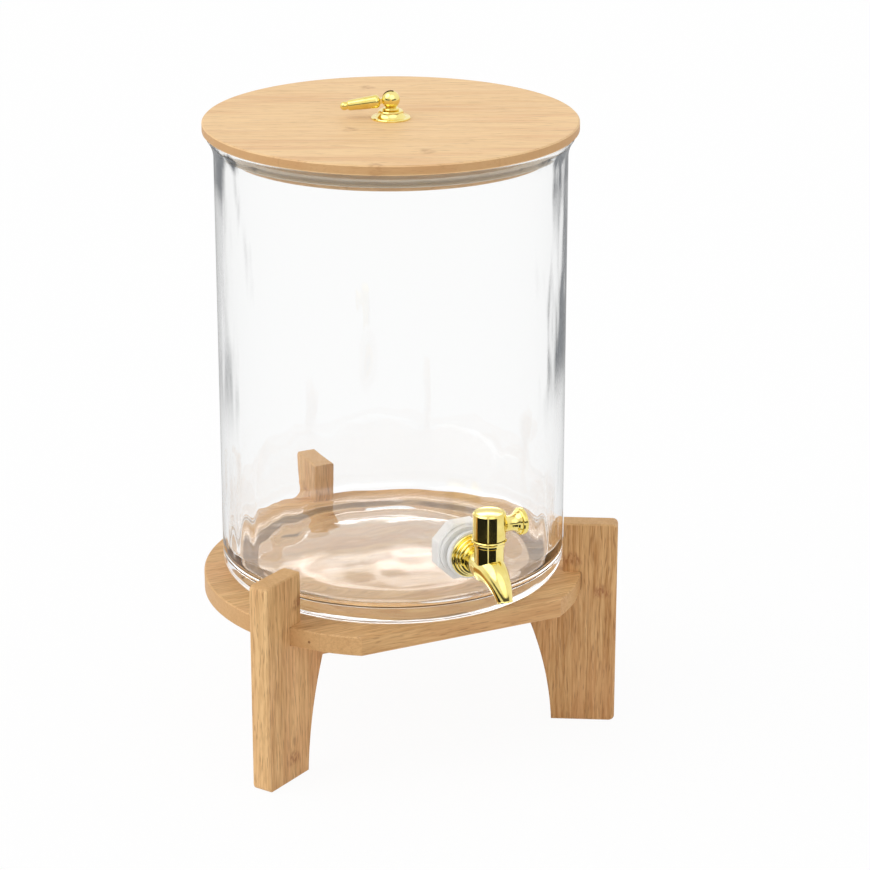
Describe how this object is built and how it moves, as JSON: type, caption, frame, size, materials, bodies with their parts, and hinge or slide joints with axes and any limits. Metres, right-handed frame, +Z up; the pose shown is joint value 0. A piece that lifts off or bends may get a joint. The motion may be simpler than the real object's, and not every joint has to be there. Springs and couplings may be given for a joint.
{
  "type": "drink dispenser",
  "caption": "Cylindrical glass drink dispenser with a bamboo lid and a lever tap near its base, standing in a round bamboo stand with upright board legs.",
  "frame": {"origin": "centre of the bounding box on the floor plane, under the jar: the jar's axis stands about 7.8 mm behind it", "axes": "+Z up, the tap points to -Y, +X is to the right when the tap is seen from the front"},
  "size_m": [0.2464, 0.2936, 0.3994],
  "materials": {
    "bamboo": "planed and oiled bamboo board",
    "clear_glass": "clear blown glass",
    "gold_metal": "polished gold plating",
    "silicone": "translucent silicone",
    "nut_plastic": "natural translucent plastic",
    "steel": "bright steel"
  },
  "bodies": {
    "stand": {"stand_platform": "bamboo", "leg_front_left": "bamboo", "leg_front_right": "bamboo", "leg_back": "bamboo", "leg_dowels": "bamboo"},
    "jar": {"glass_jar": "clear_glass", "tap_body": "gold_metal", "tap_outer_washer": "silicone", "tap_inner_washer": "silicone", "tap_nut": "nut_plastic", "tap_snap_ring": "steel"},
    "tap_lever": {"tap_plug": "gold_metal", "tap_plug_rings": "silicone", "tap_handle": "gold_metal", "tap_handle_screw": "steel", "tap_handle_button": "gold_metal"},
    "lid": {"lid_disc": "bamboo", "lid_inner_disc": "bamboo", "lid_seal": "silicone", "pull_rosette": "gold_metal", "pull_post": "gold_metal", "pull_pin": "gold_metal", "pull_screw": "steel", "pull_washer": "steel"},
    "pull_drop": {"pull_drop": "gold_metal"}
  },
  "joints": [
    {"name": "jar_lift", "type": "slide", "parent": "stand", "child": "jar", "axis": [0, 0, 1], "range_m": [0, 0.04]},
    {"name": "lid_lift", "type": "slide", "parent": "jar", "child": "lid", "axis": [0, 0, 1], "range_m": [0, 0.03]},
    {"name": "tap_turn", "type": "hinge", "parent": "jar", "child": "tap_lever", "pos_m": [0, -0.12216, 0.1645], "axis": [0, 0, -1], "range_deg": [0, 90]},
    {"name": "pull_swing", "type": "hinge", "parent": "lid", "child": "pull_drop", "pos_m": [0, 0.00784, 0.3943], "axis": [0.4384, 0.8988, 0], "range_deg": [0, 98]}
  ]
}
